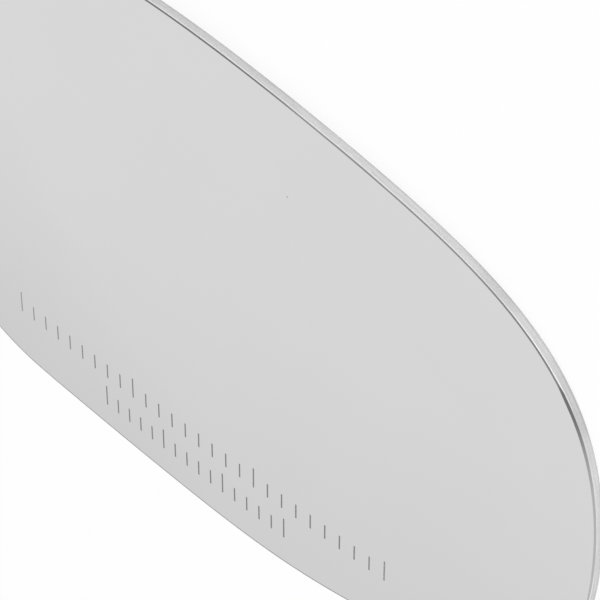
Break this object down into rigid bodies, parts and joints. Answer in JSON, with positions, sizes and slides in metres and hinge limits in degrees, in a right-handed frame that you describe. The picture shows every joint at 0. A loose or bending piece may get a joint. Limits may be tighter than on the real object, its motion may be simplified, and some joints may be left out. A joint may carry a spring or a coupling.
{
  "type": "car door mirror glass",
  "caption": "Convex glass for a car's passenger-side door mirror: a thin bent sheet with an uneven oval outline, a mirrored face and a ground edge.",
  "frame": {"origin": "middle of the outline's box, on the plane that the lowest points of the rim stand on", "axes": "+X from the inboard end to the outboard end, +Y up the face as it stands in the car, +Z out of the mirrored face"},
  "size_m": [0.18, 0.1056, 0.0049],
  "materials": {
    "mirror_glass": "bright mirror coating on the convex face, edge ground to a fine frost"
  },
  "bodies": {
    "root": {"mirror_glass": "mirror_glass"}
  },
  "joints": []
}
